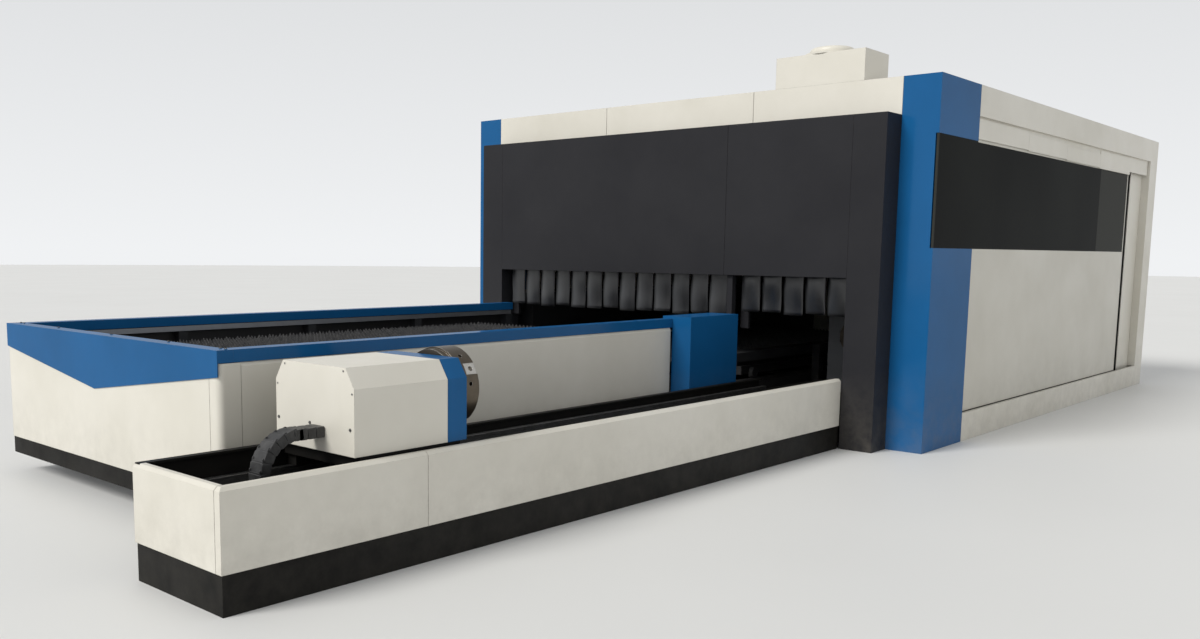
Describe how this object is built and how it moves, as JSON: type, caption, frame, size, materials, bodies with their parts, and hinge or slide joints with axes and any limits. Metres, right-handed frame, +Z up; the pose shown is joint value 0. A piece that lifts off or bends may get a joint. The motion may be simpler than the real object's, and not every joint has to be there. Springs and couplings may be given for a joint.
{
  "type": "fiber laser cutting machine",
  "caption": "Enclosed laser cutting machine for sheet and tube, with a shuttle exchange table, a side tube feeding bed with a rotary chuck, and a windowed cabin.",
  "frame": {"origin": "centre of the whole machine's footprint, on the floor", "axes": "+X from the free end of the tube bed to the rear of the cabin, +Y across from the tube bed side to the far side, +Z up"},
  "size_m": [9.6, 3.8, 2.5],
  "materials": {
    "cream_paint": "warm light grey powder coat, fine orange peel, semi-gloss",
    "blue_paint": "mid blue powder coat, fine orange peel, semi-gloss",
    "charcoal_paint": "dark charcoal powder coat, matt",
    "frame_paint": "dark grey primer paint on welded steel",
    "black_paint": "black matt paint, dusty",
    "smoked_glass": "dark smoked laser safety pane, glossy",
    "curtain_pvc": "dark flexible strip curtain",
    "slat_steel": "thin hot rolled blades, scorched and spattered",
    "machined_steel": "machined steel, lightly oiled",
    "cast_housing": "painted casting",
    "chain_plastic": "black glass-filled nylon links",
    "nozzle_brass": "turned copper alloy"
  },
  "bodies": {
    "machine": {"bed_end_panel": "cream_paint", "bed_far_panels": "black_paint", "bed_frame": "black_paint", "bed_near_panels": "cream_paint", "cabin_frame": "frame_paint", "corner_window": "smoked_glass", "curtain_strips": "curtain_pvc", "door_header_plates": "cream_paint", "door_track": "charcoal_paint", "drag_chain_run": "chain_plastic", "drive_box": "blue_paint", "fan_cowl": "cream_paint", "far_corner_column": "blue_paint", "fascia_panels": "cream_paint", "front_chuck_housing": "cast_housing", "gate_covers": "charcoal_paint", "gate_guides": "charcoal_paint", "gate_posts": "charcoal_paint", "guide_rails": "machined_steel", "levelling_feet": "machined_steel", "machine_bed": "frame_paint", "near_corner_column": "blue_paint", "pallet_rails": "frame_paint", "plinth_skirts": "black_paint", "roof_box": "cream_paint", "roof_panel": "cream_paint", "shuttle_motor": "frame_paint", "side_portal": "cream_paint", "table_corner_panel": "cream_paint", "table_end_cap": "blue_paint", "table_end_panel": "cream_paint", "table_frame": "frame_paint", "table_rims": "blue_paint", "table_side_panels": "cream_paint", "wall_panels": "cream_paint"},
    "pallet_a": {"pallet_a_frame": "frame_paint", "pallet_a_slats": "slat_steel"},
    "pallet_b": {"pallet_b_frame": "frame_paint", "pallet_b_slats": "slat_steel"},
    "pallet_door": {"pallet_lift_door": "charcoal_paint"},
    "tube_door": {"tube_lift_door": "charcoal_paint"},
    "side_door": {"service_door": "cream_paint", "door_window": "smoked_glass"},
    "headstock": {"headstock_cover": "cream_paint", "headstock_front_band": "blue_paint", "headstock_saddle": "black_paint", "spindle_housing": "machined_steel", "drag_chain_loop": "chain_plastic"},
    "rear_chuck": {"rear_chuck_body": "machined_steel"},
    "jaw_1": {"rear_chuck_jaw_1": "machined_steel"},
    "jaw_2": {"rear_chuck_jaw_2": "machined_steel"},
    "jaw_3": {"rear_chuck_jaw_3": "machined_steel"},
    "jaw_4": {"rear_chuck_jaw_4": "machined_steel"},
    "front_chuck": {"front_chuck_ring": "machined_steel"},
    "gantry": {"gantry_beam": "frame_paint", "gantry_end_carriages": "frame_paint"},
    "cross": {"cross_carriage": "machined_steel"},
    "head": {"head_slide": "machined_steel", "cutting_head": "machined_steel", "cutting_nozzle": "nozzle_brass"}
  },
  "joints": [
    {"name": "pallet_a_shuttle", "type": "slide", "parent": "machine", "child": "pallet_a", "axis": [1, 0, 0], "range_m": [0, 4.15]},
    {"name": "pallet_b_shuttle", "type": "slide", "parent": "machine", "child": "pallet_b", "axis": [1, 0, 0], "range_m": [-4.15, 0]},
    {"name": "pallet_door_lift", "type": "slide", "parent": "machine", "child": "pallet_door", "axis": [0, 0, 1], "range_m": [-0.34, 0]},
    {"name": "tube_door_lift", "type": "slide", "parent": "machine", "child": "tube_door", "axis": [0, 0, 1], "range_m": [-0.34, 0]},
    {"name": "side_door_slide", "type": "slide", "parent": "machine", "child": "side_door", "axis": [1, 0, 0], "range_m": [0, 0.58]},
    {"name": "headstock_travel", "type": "slide", "parent": "machine", "child": "headstock", "axis": [1, 0, 0], "range_m": [-0.2, 2.85]},
    {"name": "rear_chuck_spin", "type": "hinge", "parent": "headstock", "child": "rear_chuck", "pos_m": [-4.07, -1.158, 0.632], "axis": [1, 0, 0], "continuous": true},
    {"name": "front_chuck_spin", "type": "hinge", "parent": "machine", "child": "front_chuck", "pos_m": [0.33, -1.158, 0.632], "axis": [1, 0, 0], "continuous": true},
    {"name": "gantry_travel", "type": "slide", "parent": "machine", "child": "gantry", "axis": [1, 0, 0], "range_m": [-3.4, 0.45]},
    {"name": "cross_travel", "type": "slide", "parent": "gantry", "child": "cross", "axis": [0, 1, 0], "range_m": [-1.6, 0.8]},
    {"name": "head_lift", "type": "slide", "parent": "cross", "child": "head", "axis": [0, 0, -1], "range_m": [0, 0.295]},
    {"name": "jaw_1_slide", "type": "slide", "parent": "rear_chuck", "child": "jaw_1", "axis": [0, -0.866, 0.5], "range_m": [-0.04, 0.008]},
    {"name": "jaw_2_slide", "type": "slide", "parent": "rear_chuck", "child": "jaw_2", "axis": [0, -0.5, -0.866], "range_m": [-0.04, 0.008]},
    {"name": "jaw_3_slide", "type": "slide", "parent": "rear_chuck", "child": "jaw_3", "axis": [0, 0.866, -0.5], "range_m": [-0.04, 0.008]},
    {"name": "jaw_4_slide", "type": "slide", "parent": "rear_chuck", "child": "jaw_4", "axis": [0, 0.5, 0.866], "range_m": [-0.04, 0.008]}
  ],
  "couplings": [
    {"joint": "pallet_b_shuttle", "follows": "pallet_a_shuttle", "ratio": -1},
    {"joint": "front_chuck_spin", "follows": "rear_chuck_spin", "ratio": 1},
    {"joint": "jaw_3_slide", "follows": "jaw_1_slide", "ratio": 1},
    {"joint": "jaw_4_slide", "follows": "jaw_2_slide", "ratio": 1}
  ]
}
